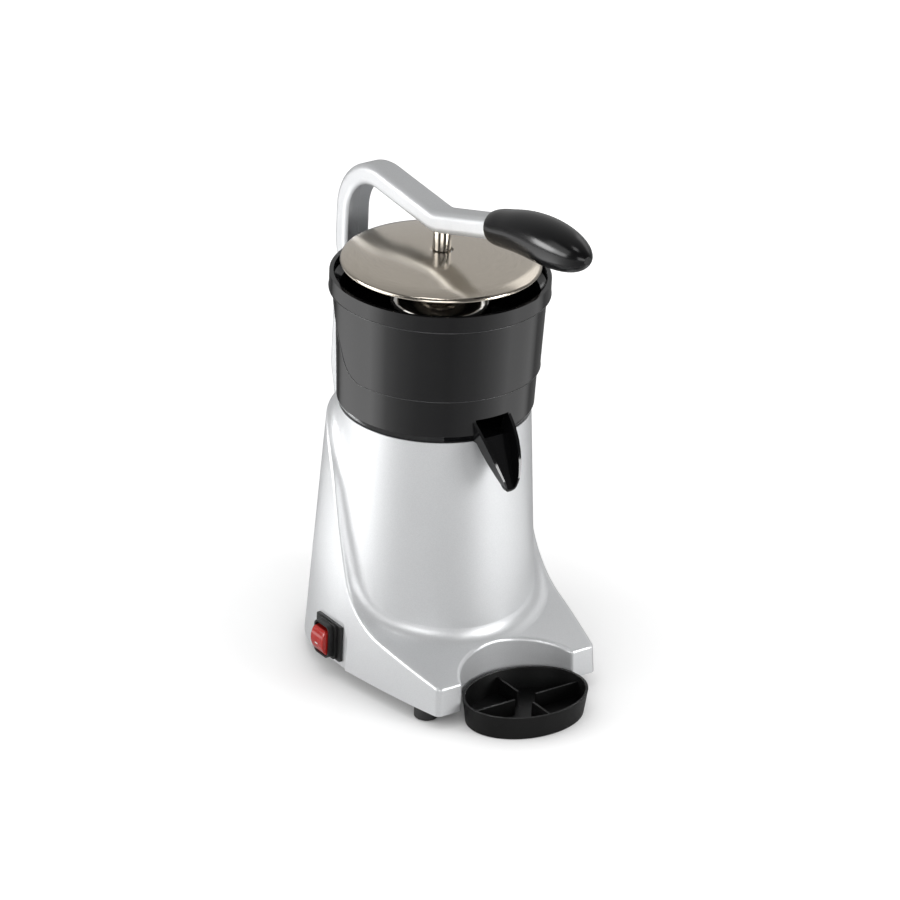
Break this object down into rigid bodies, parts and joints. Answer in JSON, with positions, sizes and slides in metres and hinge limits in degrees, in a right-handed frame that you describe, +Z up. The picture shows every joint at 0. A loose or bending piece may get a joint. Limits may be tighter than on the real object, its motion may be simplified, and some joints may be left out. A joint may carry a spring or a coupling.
{
  "type": "electric lever citrus juicer",
  "caption": "Countertop electric citrus juicer: cast column with juice bowl and spout, hinged lever press with lid and cup, rocker switch and slide-out drip tray.",
  "frame": {"origin": "On the table under the feet, at the middle of the box round the whole juicer, lever down.", "axes": "+Z up; -Y is the user's side, where the handle, the spout and the drip tray point; +X is the user's right. The switch is on -X."},
  "size_m": [0.2022, 0.3176, 0.4186],
  "materials": {
    "silver_paint": "satin metallic silver paint on a casting",
    "black_gloss": "glossy black moulded plastic",
    "black_satin": "satin black moulded plastic",
    "red_gloss": "translucent red plastic",
    "stainless": "brushed stainless sheet",
    "polished_steel": "polished stainless steel",
    "steel_hardware": "plain machined steel",
    "rubber": "black rubber",
    "lamination": "stacked steel laminations",
    "copper": "enamelled copper",
    "cast_alloy": "plain cast or drawn aluminium",
    "bronze": "sintered bronze",
    "reamer_plastic": "ivory moulded plastic"
  },
  "bodies": {
    "base": {"base_plate": "stainless", "body_housing": "silver_paint", "bowl_gasket": "rubber", "capacitor_clamp": "steel_hardware", "capacitor_clamp_screw": "steel_hardware", "cord_grommet": "rubber", "feet": "rubber", "foot_screws": "steel_hardware", "hinge_pin": "steel_hardware", "hinge_pin_clips": "steel_hardware", "juice_bowl": "black_gloss", "lever_stop_bumper": "rubber", "lower_bearing": "steel_hardware", "motor_lower_bracket": "cast_alloy", "motor_mount_screws": "steel_hardware", "motor_through_bolts": "steel_hardware", "motor_upper_bracket": "cast_alloy", "run_capacitor": "cast_alloy", "shaft_seal": "rubber", "stator_core": "lamination", "stator_windings": "copper", "strainer": "stainless", "switch_bezel": "black_satin", "switch_body": "black_satin", "switch_terminals": "copper", "terminal_block": "black_satin", "upper_bearing": "steel_hardware"},
    "lever": {"lever_arm": "silver_paint", "hinge_bushes": "bronze", "handle_upper_half": "black_gloss", "handle_lower_half": "black_gloss", "handle_screws": "steel_hardware", "press_rod": "polished_steel", "pressing_cup": "polished_steel", "cup_screw": "steel_hardware", "lid_seat_collar": "polished_steel"},
    "lid": {"lid": "stainless"},
    "spindle": {"rotor": "lamination", "motor_shaft": "steel_hardware", "cooling_fan": "reamer_plastic", "drive_dog": "steel_hardware", "reamer_cone": "reamer_plastic"},
    "rocker": {"switch_rocker": "red_gloss"},
    "tray": {"drip_tray": "black_satin"}
  },
  "joints": [
    {"name": "lever_hinge", "type": "hinge", "parent": "base", "child": "lever", "pos_m": [0.0051, 0.13455, 0.266], "axis": [-1, 0, 0], "range_deg": [0, 65]},
    {"name": "lid_lift", "type": "slide", "parent": "lever", "child": "lid", "axis": [0, 0, 1], "range_m": [0, 0.013]},
    {"name": "reamer_spin", "type": "hinge", "parent": "base", "child": "spindle", "pos_m": [0.0051, 0.02755, 0.2], "axis": [0, 0, 1], "continuous": true},
    {"name": "rocker_tilt", "type": "hinge", "parent": "base", "child": "rocker", "pos_m": [-0.0861, 0.02525, 0.0315], "axis": [0, 1, 0], "range_deg": [0, 12]},
    {"name": "tray_slide", "type": "slide", "parent": "base", "child": "tray", "axis": [0, -1, 0], "range_m": [0, 0.1]}
  ]
}
